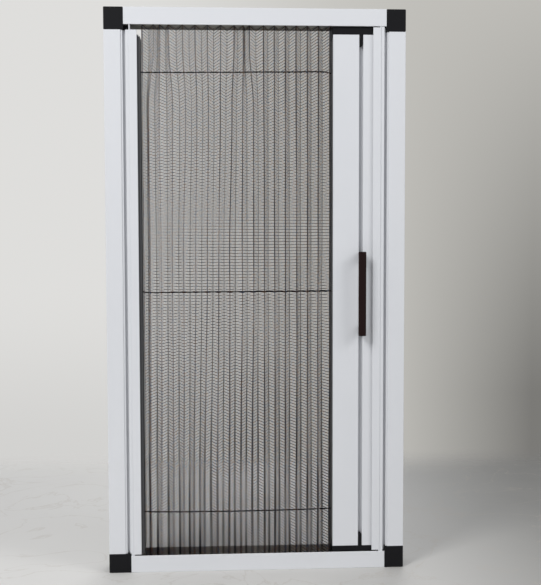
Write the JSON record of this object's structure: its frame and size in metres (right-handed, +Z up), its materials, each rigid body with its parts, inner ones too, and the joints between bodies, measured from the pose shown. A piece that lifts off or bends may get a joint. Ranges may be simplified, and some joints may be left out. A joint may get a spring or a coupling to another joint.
{
  "type": "retractable pleated screen door sample",
  "caption": "Small retractable pleated screen door: aluminium frame, corner blocks, and a pull bar with handles that slides to fold the mesh.",
  "frame": {"origin": "middle of the base, where the closed door stands on a level floor", "axes": "front faces -Y, the stacking side is -X and the closing side +X, up is +Z"},
  "size_m": [0.318, 0.056, 0.6],
  "materials": {
    "frame_aluminium": "white powder coat, satin",
    "corner_plastic": "moulded, fine grain",
    "clip_plastic": "extruded, matt",
    "handle_plastic": "moulded, satin",
    "mesh_fabric": "open woven mesh, pleated",
    "cord_fibre": "thin twisted cord"
  },
  "bodies": {
    "frame": {"top_rail": "frame_aluminium", "bottom_rail": "frame_aluminium", "left_stile": "frame_aluminium", "right_stile": "frame_aluminium", "left_side_channel": "frame_aluminium", "right_side_channel": "frame_aluminium", "top_left_corner": "corner_plastic", "top_right_corner": "corner_plastic", "bottom_left_corner": "corner_plastic", "bottom_right_corner": "corner_plastic", "left_mesh_clip": "clip_plastic", "pleated_mesh": "mesh_fabric", "cord_top": "cord_fibre", "cord_middle": "cord_fibre", "cord_bottom": "cord_fibre"},
    "pull_bar": {"pull_bar": "frame_aluminium", "pull_bar_top_cap": "corner_plastic", "pull_bar_bottom_cap": "corner_plastic", "pull_bar_mesh_clip": "clip_plastic", "front_handle": "handle_plastic", "rear_handle": "handle_plastic"}
  },
  "joints": [
    {"name": "pull_bar_slide", "type": "slide", "parent": "frame", "child": "pull_bar", "axis": [-1, 0, 0], "range_m": [0, 0.16], "deforming": ["pleated_mesh", "cord_top", "cord_middle", "cord_bottom"]}
  ]
}
